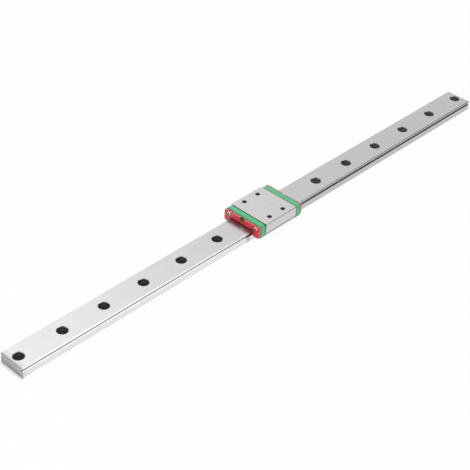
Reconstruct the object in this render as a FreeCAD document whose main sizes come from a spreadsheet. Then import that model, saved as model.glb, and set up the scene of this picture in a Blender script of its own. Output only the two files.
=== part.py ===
import FreeCAD, Part
import math
import os

import Sketcher

# Miniature wide linear guide: a ground steel rail with counterbored bolt holes, and a carriage that
# runs along it on two rows of balls. Millimetres, +X along the rail, +Z up, the origin at the
# middle of the rail's underside.

# Driving dimensions
SIZES = [
    ("rail_length", 400),
    ("rail_width", 18),
    ("rail_height", 7),
    ("rail_top_bevel", 0.3),
    ("rail_foot_bevel", 0.4),
    ("rail_hole_pitch", 30),
    ("rail_hole_end_room", 5),
    ("rail_hole_bore", 3.5),
    ("rail_hole_head_bore", 6.5),
    ("rail_hole_head_depth", 4.5),
    ("ball_diameter", 1.588),
    ("ball_gap", 0.02),
    ("race_drop", 2.1),
    ("race_clearance", 0.036),
    ("race_relief_width", 0.5),
    ("race_relief_depth", 0.4),
    ("carriage_offset", -4.6),
    ("block_length", 26.8),
    ("block_side_gap", 0.4),
    ("block_roof_gap", 0.5),
    ("block_leg_width", 5.6),
    ("block_leg_drop", 2),
    ("block_roof", 4.5),
    ("block_top_bevel", 0.5),
    ("block_foot_bevel", 1.1),
    ("block_foot_rise", 2.7),
    ("block_lip_bevel", 0.3),
    ("return_clearance", 0.15),
    ("top_hole_along", 12),
    ("top_hole_across", 21),
    ("top_hole_bore", 2.5),
    ("top_hole_depth", 3),
    ("top_hole_lip", 0.35),
    ("cap_length", 4.4),
    ("cap_inset", 0.15),
    ("cap_top_step", 0.2),
    ("cap_top_round", 1.5),
    ("cap_foot_bevel", 0.9),
    ("cap_seam_bevel", 0.35),
    ("cap_rail_gap", 0.5),
    ("cap_scoop_gap", 0.15),
    ("seal_thickness", 1.4),
    ("seal_inset", 0.35),
    ("seal_top_drop", 0.6),
    ("seal_top_bevel", 0.6),
    ("seal_foot_bevel", 1),
    ("seal_lip_gap", 0.12),
    ("seal_lip_height", 0.7),
    ("seal_lip_recess", 0.6),
    ("seal_lip_bevel", 0.6),
    ("oil_hole_drop", 1.7),
    ("oil_hole_bore", 1.4),
    ("grease_notch_width", 3),
    ("grease_notch_bevel", 0.8),
    ("screw_from_wall", 1.6),
    ("screw_drop", 2.7),
    ("screw_shank", 1.5),
    ("screw_hole_gap", 0.05),
    ("screw_grip", 4),
    ("screw_hole_spare", 1),
    ("screw_web", 0.6),
    ("screw_seat_bore", 3.6),
    ("screw_head_bore", 2.8),
    ("screw_head_height", 0.9),
    ("screw_head_round", 0.35),
    ("screw_drive_span", 1.7),
    ("screw_drive_slot", 0.6),
    ("screw_drive_depth", 0.5),
]

# Places that follow from the driving dimensions, as expressions on the sheet
RAIL_SIDE = "Sizes.rail_width / 2"
RAIL_TOP = "Sizes.rail_height"
HOLE_COUNT = "floor((Sizes.rail_length - 2 * Sizes.rail_hole_end_room) / Sizes.rail_hole_pitch) + 1"
HOLE_REACH = f"(({HOLE_COUNT}) - 1) * Sizes.rail_hole_pitch"
RACE_SIDE = f"{RAIL_SIDE} + Sizes.block_side_gap / 2"
RACE_HEIGHT = f"{RAIL_TOP} - Sizes.race_drop"
RACE_RADIUS = "Sizes.ball_diameter / 2 + Sizes.race_clearance"
RELIEF_BOTTOM = f"{RACE_SIDE} - ({RACE_RADIUS}) - Sizes.race_relief_depth"
RELIEF_TOP = f"{RACE_HEIGHT} + Sizes.race_relief_width / 2"
RELIEF_FOOT = f"{RACE_HEIGHT} - Sizes.race_relief_width / 2"
BLOCK_END = "Sizes.block_length / 2"
BLOCK_WALL = f"{RAIL_SIDE} + Sizes.block_side_gap"
BLOCK_SIDE = f"{BLOCK_WALL} + Sizes.block_leg_width"
BLOCK_ROOF = f"{RAIL_TOP} + Sizes.block_roof_gap"
BLOCK_FOOT = f"{RACE_HEIGHT} - Sizes.block_leg_drop"
CARRIAGE_TOP = f"{BLOCK_ROOF} + Sizes.block_roof"
RETURN_SIDE = f"{BLOCK_WALL} + Sizes.block_leg_width / 2"
RETURN_RADIUS = "Sizes.ball_diameter / 2 + Sizes.return_clearance"
TURN_RADIUS = f"({RETURN_SIDE} - ({RACE_SIDE})) / 2"
CAP_END = f"{BLOCK_END} + Sizes.cap_length"
CAP_SIDE = f"{BLOCK_SIDE} - Sizes.cap_inset"
CAP_FOOT = f"{BLOCK_FOOT} + Sizes.cap_inset"
CAP_TOP = f"{CARRIAGE_TOP} - Sizes.cap_top_step"
SEAL_SIDE = f"{CAP_SIDE} - Sizes.seal_inset"
SEAL_FOOT = f"{CAP_FOOT} + Sizes.seal_inset"
SEAL_TOP = f"{CAP_TOP} - Sizes.seal_top_drop"
OIL_HEIGHT = f"{CARRIAGE_TOP} - Sizes.oil_hole_drop"
LIP_REACH = "Sizes.seal_lip_gap + Sizes.seal_lip_height"
LIP_FACE = f"{CAP_END} + Sizes.seal_thickness - Sizes.seal_lip_recess"
NOTCH_SIDE = "Sizes.grease_notch_width / 2"
NOTCH_FOOT = f"{OIL_HEIGHT} - {NOTCH_SIDE}"
SCREW_SIDE = f"{BLOCK_WALL} + Sizes.screw_from_wall"
SCREW_HEIGHT = f"{CARRIAGE_TOP} - Sizes.screw_drop"
SCREW_SEAT = f"{CAP_END} + Sizes.screw_web"
SCREW_HOLE_RADIUS = "Sizes.screw_shank / 2 + Sizes.screw_hole_gap"
SCREW_LENGTH = "Sizes.screw_web + Sizes.cap_length + Sizes.screw_grip"

# Lengths closer than this are the same
SAME_LENGTH = 0.0001

# A ball row is many like solids, so each ball is made of flat faces
BALL_SIDES = 6
BALL_BANDS = 4

doc = FreeCAD.newDocument("linear_guide")
sheet = doc.addObject("Spreadsheet::Sheet", "Sizes")
for row, (alias, size) in enumerate(SIZES, start=1):
    sheet.set(f"A{row}", alias)
    sheet.set(f"B{row}", str(size))
    sheet.setAlias(f"B{row}", alias)
doc.recompute()

subparts = []


def value(expression):
    """The number that an expression on the sheet gives."""
    return float(sheet.evalExpression(expression))


def negative(expression):
    """The same distance on the other side of the middle."""
    return f"-({expression})"


def at(distance, expected):
    """True for two lengths that are the same but for rounding."""
    return abs(distance - expected) < SAME_LENGTH


def new_body(name, turned=False, along="0", across="0", up="0"):
    """A sub-part of its own, placed from the carriage's middle and turned about Z if it faces left."""
    body = doc.addObject("PartDesign::Body", name)
    body.Label = name
    turn = FreeCAD.Rotation(FreeCAD.Vector(0, 0, 1), 180 if turned else 0)
    body.Placement = FreeCAD.Placement(FreeCAD.Vector(value(along), value(across), value(up)), turn)
    for axis, expression in zip("xyz", (along, across, up)):
        body.setExpression(f"Placement.Base.{axis}", expression)
    subparts.append(body)
    return body


def origin_feature(body, role):
    """One of the body's own origin planes or axes."""
    return next(feature for feature in body.Origin.OriginFeatures if feature.Role == role)


def new_sketch(body, name, role, height="0"):
    """An empty sketch on an origin plane of the body, lifted along the plane's normal."""
    sketch = body.newObject("Sketcher::SketchObject", name)
    sketch.AttachmentSupport = [(origin_feature(body, role), "")]
    sketch.MapMode = "FlatFace"
    sketch.setExpression("AttachmentOffset.Base.z", height)
    return sketch


def pin_point(sketch, geometry, point, across, up):
    """Fix a sketch point at its distances from the sketch's origin."""
    for kind, axis, expression in (("DistanceX", -2, across), ("DistanceY", -1, up)):
        if expression == "0":
            sketch.addConstraint(Sketcher.Constraint("PointOnObject", geometry, point, axis))
            continue
        fixed = sketch.addConstraint(
            Sketcher.Constraint(kind, -1, 1, geometry, point, value(expression))
        )
        sketch.setExpression(f"Constraints[{fixed}]", expression)


def add_polygon(sketch, corners):
    """A closed outline through corners, each a pair of expressions."""
    points = [FreeCAD.Vector(value(across), value(up), 0) for across, up in corners]
    first = sketch.GeometryCount
    for start, end in zip(points, points[1:] + points[:1]):
        sketch.addGeometry(Part.LineSegment(start, end))
    for step, (across, up) in enumerate(corners):
        following = first + (step + 1) % len(corners)
        sketch.addConstraint(Sketcher.Constraint("Coincident", first + step, 2, following, 1))
        pin_point(sketch, first + step, 1, across, up)


def add_circle(sketch, across, up, radius):
    """A full circle about a point."""
    centre = FreeCAD.Vector(value(across), value(up), 0)
    circle = sketch.addGeometry(Part.Circle(centre, FreeCAD.Vector(0, 0, 1), value(radius)))
    pin_point(sketch, circle, 3, across, up)
    fixed = sketch.addConstraint(Sketcher.Constraint("Radius", circle, value(radius)))
    sketch.setExpression(f"Constraints[{fixed}]", radius)


def add_circle_pair(sketch, across, up, radius):
    """Two like circles, one on each side of the middle."""
    add_circle(sketch, across, up, radius)
    add_circle(sketch, negative(across), up, radius)


def both_sides(half):
    """A closed outline from the corners of its right half, going round from the middle."""
    return half + [(negative(across), up) for across, up in reversed(half)]


def bevelled(side, foot, top, foot_bevel, top_bevel, foot_rise=None):
    """The right half of an outline with its lower and upper corner cut off, the lower one steeper or not."""
    return [
        (f"{side} - {foot_bevel}", foot),
        (side, f"{foot} + {foot_rise or foot_bevel}"),
        (side, f"{top} - {top_bevel}"),
        (f"{side} - {top_bevel}", top),
    ]


def pad(body, sketch, length, symmetric=False):
    """Raise a sketch into a solid along its normal."""
    feature = body.newObject("PartDesign::Pad", sketch.Label + "_pad")
    feature.Profile = sketch
    feature.SideType = "Symmetric" if symmetric else "One side"
    feature.setExpression("Length", length)
    doc.recompute()
    return feature


def pocket(body, sketch, depth=None, forward=False, symmetric=False):
    """Cut a sketch into the body: right through it, or to a depth, or half the depth to each side."""
    volume = body.Shape.Volume
    feature = body.newObject("PartDesign::Pocket", sketch.Label + "_pocket")
    feature.Profile = sketch
    feature.Reversed = forward
    if depth is None:
        feature.Type = "ThroughAll"
    else:
        feature.setExpression("Length", depth)
    feature.SideType = "Symmetric" if symmetric or depth is None else "One side"
    doc.recompute()
    if not body.Shape.Volume < volume:
        raise RuntimeError(f"{feature.Label} cuts nothing")
    return feature


def dress_edges(body, kind, size_name, size, chosen):
    """Round or bevel those edges of the body so far whose two ends pass a test."""
    base = body.Tip
    edges = [
        f"Edge{number}"
        for number, edge in enumerate(base.Shape.Edges, start=1)
        if chosen(edge.firstVertex().Point, edge.lastVertex().Point)
    ]
    feature = body.newObject(f"PartDesign::{kind}", f"{base.Label}_{kind.lower()}")
    feature.Base = (base, edges)
    feature.setExpression(size_name, size)
    doc.recompute()
    return feature


def hole(body, sketch, bore, cut_type, cut_bore, cut_depth=None, depth=None):
    """Drill every circle of a sketch, with a counterbore or a countersink at its mouth."""
    doc.recompute()
    volume = body.Shape.Volume
    feature = body.newObject("PartDesign::Hole", sketch.Label + "_hole")
    feature.Profile = sketch
    doc.recompute()
    feature.ThreadType = "None"
    feature.DrillPoint = "Flat"
    feature.setExpression("Diameter", bore)
    feature.HoleCutType = cut_type
    feature.HoleCutCustomValues = True
    feature.setExpression("HoleCutDiameter", cut_bore)
    if cut_depth is not None:
        feature.setExpression("HoleCutDepth", cut_depth)
    if depth is None:
        feature.DepthType = "ThroughAll"
    else:
        feature.DepthType = "Dimension"
        feature.setExpression("Depth", depth)
    doc.recompute()
    if not body.Shape.Volume < volume:
        raise RuntimeError(f"{feature.Label} cuts nothing")
    return feature


# The rail: a ground bar with a relieved ball groove down each side and a line of bolt holes
rail = new_body("rail")
rail_section = new_sketch(rail, "rail_section", "YZ_Plane")
add_polygon(
    rail_section,
    both_sides(bevelled(RAIL_SIDE, "0", RAIL_TOP, "Sizes.rail_foot_bevel", "Sizes.rail_top_bevel")),
)
pad(rail, rail_section, "Sizes.rail_length", symmetric=True)
rail_races = new_sketch(rail, "rail_races", "YZ_Plane")
add_circle_pair(rail_races, RACE_SIDE, RACE_HEIGHT, RACE_RADIUS)
pocket(rail, rail_races)
rail_reliefs = new_sketch(rail, "rail_reliefs", "YZ_Plane")
for sign in ("", "-"):
    bottom, mouth = f"{sign}({RELIEF_BOTTOM})", f"{sign}({RACE_SIDE})"
    relief = [(bottom, RELIEF_FOOT), (mouth, RELIEF_FOOT), (mouth, RELIEF_TOP), (bottom, RELIEF_TOP)]
    add_polygon(rail_reliefs, relief)
pocket(rail, rail_reliefs)
bolt_mouth = new_sketch(rail, "bolt_mouth", "XY_Plane", RAIL_TOP)
add_circle(bolt_mouth, f"-({HOLE_REACH}) / 2", "0", "Sizes.rail_hole_bore / 2")
first_bolt_hole = hole(
    rail,
    bolt_mouth,
    "Sizes.rail_hole_bore",
    "Counterbore",
    "Sizes.rail_hole_head_bore",
    "Sizes.rail_hole_head_depth",
)
bolt_holes = rail.newObject("PartDesign::LinearPattern", "bolt_holes")
bolt_holes.Originals = [first_bolt_hole]
bolt_holes.Direction = (origin_feature(rail, "X_Axis"), [""])
bolt_holes.Mode = "Extent"
bolt_holes.setExpression("Length", HOLE_REACH)
bolt_holes.setExpression("Occurrences", HOLE_COUNT)
rail.Tip = bolt_holes
doc.recompute()

# The carriage block: a steel saddle with the matching grooves, return bores and load holes
block = new_body("carriage_block", along="Sizes.carriage_offset")
block_section = new_sketch(block, "block_section", "YZ_Plane")
block_half = [
    (BLOCK_WALL, BLOCK_ROOF),
    (BLOCK_WALL, f"{BLOCK_FOOT} + Sizes.block_lip_bevel"),
    (f"{BLOCK_WALL} + Sizes.block_lip_bevel", BLOCK_FOOT),
]
block_half += bevelled(
    BLOCK_SIDE,
    BLOCK_FOOT,
    CARRIAGE_TOP,
    "Sizes.block_foot_bevel",
    "Sizes.block_top_bevel",
    "Sizes.block_foot_rise",
)
add_polygon(block_section, both_sides(block_half))
pad(block, block_section, "Sizes.block_length", symmetric=True)
ball_paths = new_sketch(block, "ball_paths", "YZ_Plane")
add_circle_pair(ball_paths, RACE_SIDE, RACE_HEIGHT, RACE_RADIUS)
add_circle_pair(ball_paths, RETURN_SIDE, RACE_HEIGHT, RETURN_RADIUS)
pocket(block, ball_paths)
load_holes = new_sketch(block, "load_holes", "XY_Plane", CARRIAGE_TOP)
for along in ("Sizes.top_hole_along / 2", "-Sizes.top_hole_along / 2"):
    for across in ("Sizes.top_hole_across / 2", "-Sizes.top_hole_across / 2"):
        add_circle(load_holes, along, across, "Sizes.top_hole_bore / 2")
hole(
    block,
    load_holes,
    "Sizes.top_hole_bore",
    "Countersink",
    "Sizes.top_hole_bore + 2 * Sizes.top_hole_lip",
    depth="Sizes.top_hole_depth",
)
cap_screw_holes = new_sketch(block, "cap_screw_holes", "YZ_Plane", BLOCK_END)
add_circle_pair(cap_screw_holes, SCREW_SIDE, SCREW_HEIGHT, SCREW_HOLE_RADIUS)
right_end_holes = pocket(block, cap_screw_holes, "Sizes.screw_grip + Sizes.screw_hole_spare")
left_end_holes = block.newObject("PartDesign::Mirrored", "left_end_holes")
left_end_holes.Originals = [right_end_holes]
left_end_holes.MirrorPlane = (origin_feature(block, "YZ_Plane"), [""])
block.Tip = left_end_holes
doc.recompute()


def add_opening(body, sketch, gap):
    """Cut the way for the rail through an end piece, from its foot to just above the rail."""
    side = f"{RAIL_SIDE} + {gap}"
    add_polygon(sketch, both_sides([(side, "0"), (side, f"{RAIL_TOP} + {gap}")]))
    pocket(body, sketch)


def make_end_cap(name, turned):
    """A moulded end cap: it turns the balls round into their return bore and lifts them off the rail."""
    cap = new_body(name, turned, along="Sizes.carriage_offset")
    outline = new_sketch(cap, name + "_outline", "YZ_Plane", BLOCK_END)
    half = [
        (f"{CAP_SIDE} - Sizes.cap_foot_bevel", CAP_FOOT),
        (CAP_SIDE, f"{CAP_FOOT} + Sizes.cap_foot_bevel"),
        (CAP_SIDE, CAP_TOP),
    ]
    add_polygon(outline, both_sides(half))
    pad(cap, outline, "Sizes.cap_length")
    top, back = value(CAP_TOP), value(BLOCK_END)
    dress_edges(
        cap,
        "Fillet",
        "Radius",
        "Sizes.cap_top_round",
        lambda start, end: at(start.z, top) and at(end.z, top) and at(start.y, end.y),
    )
    dress_edges(
        cap,
        "Chamfer",
        "Size",
        "Sizes.cap_seam_bevel",
        lambda start, end: at(start.x, back) and at(end.x, back),
    )
    add_opening(cap, new_sketch(cap, name + "_opening", "YZ_Plane", BLOCK_END), "Sizes.cap_rail_gap")
    scoops = new_sketch(cap, name + "_scoops", "YZ_Plane", BLOCK_END)
    add_circle_pair(scoops, RACE_SIDE, RACE_HEIGHT, f"{RACE_RADIUS} - Sizes.cap_scoop_gap")
    pad(cap, scoops, "Sizes.cap_length")
    turns = new_sketch(cap, name + "_turns", "XY_Plane", RACE_HEIGHT)
    for sign in ("", "-"):
        middle = f"{sign}({RETURN_SIDE} + {RACE_SIDE}) / 2"
        add_circle(turns, BLOCK_END, middle, f"{TURN_RADIUS} + {RETURN_RADIUS}")
        add_circle(turns, BLOCK_END, middle, f"{TURN_RADIUS} - ({RETURN_RADIUS})")
    pocket(cap, turns, f"2 * ({RETURN_RADIUS})", symmetric=True)
    bores = new_sketch(cap, name + "_bores", "YZ_Plane", BLOCK_END)
    add_circle_pair(bores, SCREW_SIDE, SCREW_HEIGHT, SCREW_HOLE_RADIUS)
    add_circle(bores, "0", OIL_HEIGHT, "Sizes.oil_hole_bore / 2")
    pocket(cap, bores)


def make_end_seal(name, turned):
    """A moulded wiper plate: its lip is set back and follows the rail, and its notch clears the oil hole."""
    seal = new_body(name, turned, along="Sizes.carriage_offset")
    outline = new_sketch(seal, name + "_outline", "YZ_Plane", CAP_END)
    half = bevelled(SEAL_SIDE, SEAL_FOOT, SEAL_TOP, "Sizes.seal_foot_bevel", "Sizes.seal_top_bevel")
    add_polygon(outline, both_sides(half))
    pad(seal, outline, "Sizes.seal_thickness")
    add_opening(seal, new_sketch(seal, name + "_opening", "YZ_Plane", CAP_END), "Sizes.seal_lip_gap")
    lips = new_sketch(seal, name + "_lips", "YZ_Plane", CAP_END)
    add_circle_pair(lips, RACE_SIDE, RACE_HEIGHT, f"{RACE_RADIUS} - Sizes.seal_lip_gap")
    pad(seal, lips, "Sizes.seal_thickness")
    set_back = new_sketch(seal, name + "_set_back", "YZ_Plane", LIP_FACE)
    rim_side, rim_top = f"{RAIL_SIDE} + {LIP_REACH}", f"{RAIL_TOP} + {LIP_REACH}"
    rim_half = [
        (rim_side, "0"),
        (rim_side, f"{rim_top} - Sizes.seal_lip_bevel"),
        (f"{rim_side} - Sizes.seal_lip_bevel", rim_top),
    ]
    add_polygon(set_back, both_sides(rim_half))
    pocket(seal, set_back, "Sizes.seal_lip_recess", forward=True)
    bores = new_sketch(seal, name + "_bores", "YZ_Plane", CAP_END)
    add_circle_pair(bores, SCREW_SIDE, SCREW_HEIGHT, SCREW_HOLE_RADIUS)
    pocket(seal, bores)
    notch = new_sketch(seal, name + "_notch", "YZ_Plane", CAP_END)
    notch_half = [
        (f"{NOTCH_SIDE} - Sizes.grease_notch_bevel", NOTCH_FOOT),
        (NOTCH_SIDE, f"{NOTCH_FOOT} + Sizes.grease_notch_bevel"),
        (NOTCH_SIDE, CARRIAGE_TOP),
    ]
    add_polygon(notch, both_sides(notch_half))
    pocket(seal, notch)
    seats = new_sketch(seal, name + "_seats", "YZ_Plane", SCREW_SEAT)
    add_circle_pair(seats, SCREW_SIDE, SCREW_HEIGHT, "Sizes.screw_seat_bore / 2")
    pocket(seal, seats, "Sizes.seal_thickness - Sizes.screw_web", forward=True)


def make_screw(name, turned, side):
    """A pan head screw with a cross drive, seated in the seal and gripping in the block."""
    along = f"Sizes.carriage_offset {'-' if turned else '+'} ({SCREW_SEAT})"
    screw = new_body(name, turned, along, side, SCREW_HEIGHT)
    profile = new_sketch(screw, name + "_profile", "XY_Plane")
    add_polygon(
        profile,
        [
            (negative(SCREW_LENGTH), "0"),
            (negative(SCREW_LENGTH), "Sizes.screw_shank / 2"),
            ("0", "Sizes.screw_shank / 2"),
            ("0", "Sizes.screw_head_bore / 2"),
            ("Sizes.screw_head_height - Sizes.screw_head_round", "Sizes.screw_head_bore / 2"),
            ("Sizes.screw_head_height", "Sizes.screw_head_bore / 2 - Sizes.screw_head_round"),
            ("Sizes.screw_head_height", "0"),
        ],
    )
    turned_form = screw.newObject("PartDesign::Revolution", name + "_form")
    turned_form.Profile = profile
    turned_form.ReferenceAxis = (origin_feature(screw, "X_Axis"), [""])
    turned_form.Angle = 360
    doc.recompute()
    drive = new_sketch(screw, name + "_drive", "YZ_Plane", "Sizes.screw_head_height")
    long_half = "Sizes.screw_drive_span / 2"
    slot_half = "Sizes.screw_drive_slot / 2"
    cross_half = [
        (slot_half, negative(long_half)),
        (slot_half, negative(slot_half)),
        (long_half, negative(slot_half)),
        (long_half, slot_half),
        (slot_half, slot_half),
        (slot_half, long_half),
    ]
    add_polygon(drive, both_sides(cross_half))
    pocket(screw, drive, "Sizes.screw_drive_depth")


def ball_of_faces(radius, centre):
    """One ball as rings of flat faces about the X axis, with its widest corners at its full radius."""
    rings = []
    for band in range(1, BALL_BANDS):
        latitude = math.pi * band / BALL_BANDS
        ring = []
        for side in range(BALL_SIDES + 1):
            turn = 2 * math.pi * side / BALL_SIDES
            spoke = FreeCAD.Vector(0, math.cos(turn), math.sin(turn)) * math.sin(latitude)
            ring.append(centre + (spoke + FreeCAD.Vector(math.cos(latitude), 0, 0)) * radius)
        rings.append(ring)
    outlines = [rings[0], rings[-1]]
    for ring, following in zip(rings, rings[1:]):
        for side in range(BALL_SIDES):
            quad = [ring[side], ring[side + 1], following[side + 1], following[side]]
            outlines.append(quad + quad[:1])
    faces = [Part.Face(Part.makePolygon(outline)) for outline in outlines]
    return Part.Solid(Part.Shell(faces))


def make_ball_row(name, side):
    """The loaded balls of one side, between the rail's groove and the block's."""
    pitch = value("Sizes.ball_diameter + Sizes.ball_gap")
    count = math.floor(value("Sizes.block_length") / pitch)
    centres = [FreeCAD.Vector((place - (count - 1) / 2) * pitch, 0, 0) for place in range(count)]
    row = doc.addObject("Part::Feature", name)
    row.Label = name
    row.Shape = Part.Compound([ball_of_faces(value("Sizes.ball_diameter") / 2, c) for c in centres])
    row.Placement.Base = FreeCAD.Vector(value("Sizes.carriage_offset"), value(side), value(RACE_HEIGHT))
    subparts.append(row)


# The ball rows, and the cap, seal and screws at each end of the block
SIDE_SIGNS = {"front": "-", "back": ""}
for side_name, sign in SIDE_SIGNS.items():
    make_ball_row(f"ball_row_{side_name}", f"{sign}({RACE_SIDE})")
for end_name in ("left", "right"):
    facing_left = end_name == "left"
    make_end_cap(f"end_cap_{end_name}", facing_left)
    make_end_seal(f"end_seal_{end_name}", facing_left)
    for side_name, sign in SIDE_SIGNS.items():
        make_screw(f"cap_screw_{end_name}_{side_name}", facing_left, f"{sign}({SCREW_SIDE})")

doc.recompute()
for item in doc.Objects:
    if "Invalid" in item.State or "Error" in item.State:
        raise RuntimeError(f"{item.Label} failed: {item.State}")
for piece in subparts:
    if piece.Shape.isNull() or not piece.Shape.isValid():
        raise RuntimeError(f"{piece.Label} has no valid shape")

os.makedirs("parts", exist_ok=True)
for piece in subparts:
    piece.Shape.exportStep(os.path.join("parts", piece.Label + ".step"))
    print(piece.Label, len(piece.Shape.Solids), "solids", round(piece.Shape.Volume, 3), "mm3")
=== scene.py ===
import math

import bmesh
import bpy
from mathutils import Matrix, Quaternion, Vector


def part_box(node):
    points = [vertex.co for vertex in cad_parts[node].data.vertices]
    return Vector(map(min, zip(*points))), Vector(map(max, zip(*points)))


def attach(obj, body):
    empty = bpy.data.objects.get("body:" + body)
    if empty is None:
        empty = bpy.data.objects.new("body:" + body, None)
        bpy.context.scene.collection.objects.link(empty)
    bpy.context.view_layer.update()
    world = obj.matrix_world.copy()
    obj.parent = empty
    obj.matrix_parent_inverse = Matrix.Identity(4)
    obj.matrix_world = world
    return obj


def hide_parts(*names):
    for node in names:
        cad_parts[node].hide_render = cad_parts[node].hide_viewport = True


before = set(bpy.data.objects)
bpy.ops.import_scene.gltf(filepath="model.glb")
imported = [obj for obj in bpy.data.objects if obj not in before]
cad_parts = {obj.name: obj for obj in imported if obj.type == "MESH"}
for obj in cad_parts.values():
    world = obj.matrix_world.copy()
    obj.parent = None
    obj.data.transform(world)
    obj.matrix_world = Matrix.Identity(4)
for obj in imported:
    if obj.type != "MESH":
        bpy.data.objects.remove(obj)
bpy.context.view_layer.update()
MM = 0.001

# The rail: one bar of hardened steel, ground on its top, sides and ball grooves and cut to length.
# Its counterbored bolt holes were never ground, so they keep the black scale of the hardening, with
# painted light on their walls. Painted shade darkens the ball grooves and the relief slot at the bottom
# of each, the foot, the top bevels right of the carriage, the top before the left seal and the cut ends
# towards the foot.
_, (RAIL_END, RAIL_SIDE, RAIL_TOP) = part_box("rail")
RAIL_EDGE = 0.08 * MM
RAIL_TOP_BEVEL = 0.3 * MM
RAIL_END_BEVEL = 0.4 * MM
RAIL_HOLE_PITCH = 30 * MM
RAIL_HOLE_INSET = 5 * MM
RAIL_HOLE_MOUTH = 3.25 * MM
RAIL_HOLE_BEVEL = 0.3 * MM
RACE_HEIGHT = 4.9 * MM
RACE_HALF = 0.84 * MM
RACE_FLOOR = 8.33 * MM
SLOT_FLOOR = 7.9 * MM
SLOT_HALF = 0.27 * MM
GROUND_HAIR_DEPTH = 0.0004 * MM
RAIL_COLOUR = (0.361, 0.356, 0.362, 1)
RAIL_SMEAR_COLOUR = (0.341, 0.335, 0.356, 1)
RAIL_SEAL_SHADE_COLOUR = (0.130, 0.105, 0.120, 1)
RAIL_CUT_COLOUR = (0.170, 0.164, 0.162, 1)
RAIL_MOUTH_COLOUR = (0.200, 0.195, 0.197, 1)
RAIL_SCALE_COLOUR = (0.050, 0.046, 0.050, 1)
RAIL_SCALE_LIT_RIM_COLOUR = (0.26, 0.25, 0.26, 1)
RAIL_SCALE_LIT_COLOUR = (0.22, 0.21, 0.23, 1)
RAIL_GROOVE_SHADE_COLOUR = (0.030, 0.028, 0.028, 1)

# Marks to the metre along X, Y and Z.
GROUND_LINES = (30, 1800, 1800)
GROUND_HAIRS = (120, 14000, 14000)
RAIL_SMEARS = (22, 60, 60)
RAIL_CUT_GRAIN = (900, 900, 2600)
RAIL_SCALE_SPOTS = (1500, 1500, 1500)
RAIL_SCALE_LIT_PATCHES = (350, 350, 90)

# Where each look starts and where it is full, and how strong it is there if that isn't 1.
RAIL_SMEARED = (0.45, 0.75, 0.35)
RAIL_SHADE_BY_SEAL = (-24 * MM, -26.2 * MM, 0.85)
RAIL_SHADE_OUTER_EDGE = (-30.4 * MM, -26.9 * MM)
RAIL_SHADE_UNDER_CARRIAGE = (2 * MM, -22 * MM, 0.15)
RAIL_SHADE_THIN_ALONG = (-26.5 * MM, -25 * MM, 0.7)
RAIL_SHADE_THIN_ACROSS = (-4 * MM, -7 * MM)
FOOT_SHADE_LINE_UP = (0.9 * MM, 0.3 * MM, 0.6)
FOOT_SHADE_RIGHT_UP = (2.8 * MM, 1.5 * MM, 0.4)
FOOT_SHADE_RIGHT_ALONG = (20 * MM, 120 * MM)
EDGE_SHADE_UP = (RAIL_TOP - 0.25 * MM, RAIL_TOP - 0.12 * MM)
EDGE_SHADE_OUT = (RAIL_SIDE - 0.55 * MM, RAIL_SIDE - 0.42 * MM)
EDGE_SHADE_ALONG = (12 * MM, 24 * MM, 0.75)
LEFT_END_DARKER_ALONG = (4 * MM - RAIL_END, 1 * MM - RAIL_END)
CUT_END = (RAIL_END - RAIL_END_BEVEL, RAIL_END - 0.8 * RAIL_END_BEVEL)
CUT_LIT_ACROSS = (-3 * MM, -8 * MM)
CUT_SHADE_UP = (5 * MM, 0)
HOLE_WALL = (RAIL_HOLE_MOUTH + 0.06 * MM, RAIL_HOLE_MOUTH + 0.02 * MM)
HOLE_UNDER_TOP = (RAIL_TOP - 0.005 * MM, RAIL_TOP - 0.02 * MM)
HOLE_OVER_FOOT = (0.1 * MM, 0.2 * MM)
HOLE_LIT_WALL_UP = (RAIL_TOP - 1.1 * MM, RAIL_TOP - 0.2 * MM)
HOLE_LIT_DEEP_UP = (RAIL_TOP - 1 * MM, RAIL_TOP - 3.5 * MM, 0.55)
HOLE_LIT_RIGHT_ALONG = (0, 40 * MM, 0.55)
MOUTH_RADIUS = RAIL_HOLE_MOUTH + RAIL_HOLE_BEVEL
MOUTH_RIM = (MOUTH_RADIUS + 0.1 * MM, MOUTH_RADIUS + 0.05 * MM)
MOUTH_UNDER_TOP = (RAIL_TOP - 0.01 * MM, RAIL_TOP - 0.03 * MM)
MOUTH_OVER_WALL = (RAIL_TOP - 0.5 * MM, RAIL_TOP - 0.4 * MM)
RACE_SPAN = (RACE_HALF, RACE_HALF - 0.03 * MM)
RACE_MOUTH = (RAIL_SIDE, RAIL_SIDE - 0.03 * MM)
RACE_BED = (RACE_FLOOR - 0.1 * MM, RACE_FLOOR - 0.05 * MM)
RACE_SHADE = 0.1
RACE_SHADE_UP = (RACE_HEIGHT, RACE_HEIGHT + 0.3 * MM, 0.4)
RACE_SHADE_ALONG = (12 * MM, 24 * MM, 0.55)
RACE_RIM = RACE_HEIGHT + RACE_HALF
RACE_RIM_UNDER = (RACE_RIM + 0.3 * MM, RACE_RIM + 0.1 * MM)
RACE_RIM_OVER = (RACE_HEIGHT, RACE_HEIGHT + 0.1 * MM)
RACE_RIM_OUT = (RAIL_SIDE - 0.06 * MM, RAIL_SIDE - 0.03 * MM)
RACE_RIM_ALONG = (110 * MM, 80 * MM, 0.5)
SLOT_SPAN = (SLOT_HALF + 0.02 * MM, SLOT_HALF)
SLOT_SHADE_SPAN = (SLOT_HALF + 0.2 * MM, SLOT_HALF, 0.7)
SLOT_MOUTH = (RACE_FLOOR, RACE_FLOOR - 0.03 * MM)
SLOT_BED = (SLOT_FLOOR - 0.1 * MM, SLOT_FLOOR - 0.05 * MM)

# How near counts as the same, and how sharp counts as an edge.
SAME_POINT = 0.001 * MM
NEAR_RIM = 0.02 * MM
FLAT_WITHIN = math.radians(1)
SHARP_OVER = math.radians(30)


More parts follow.
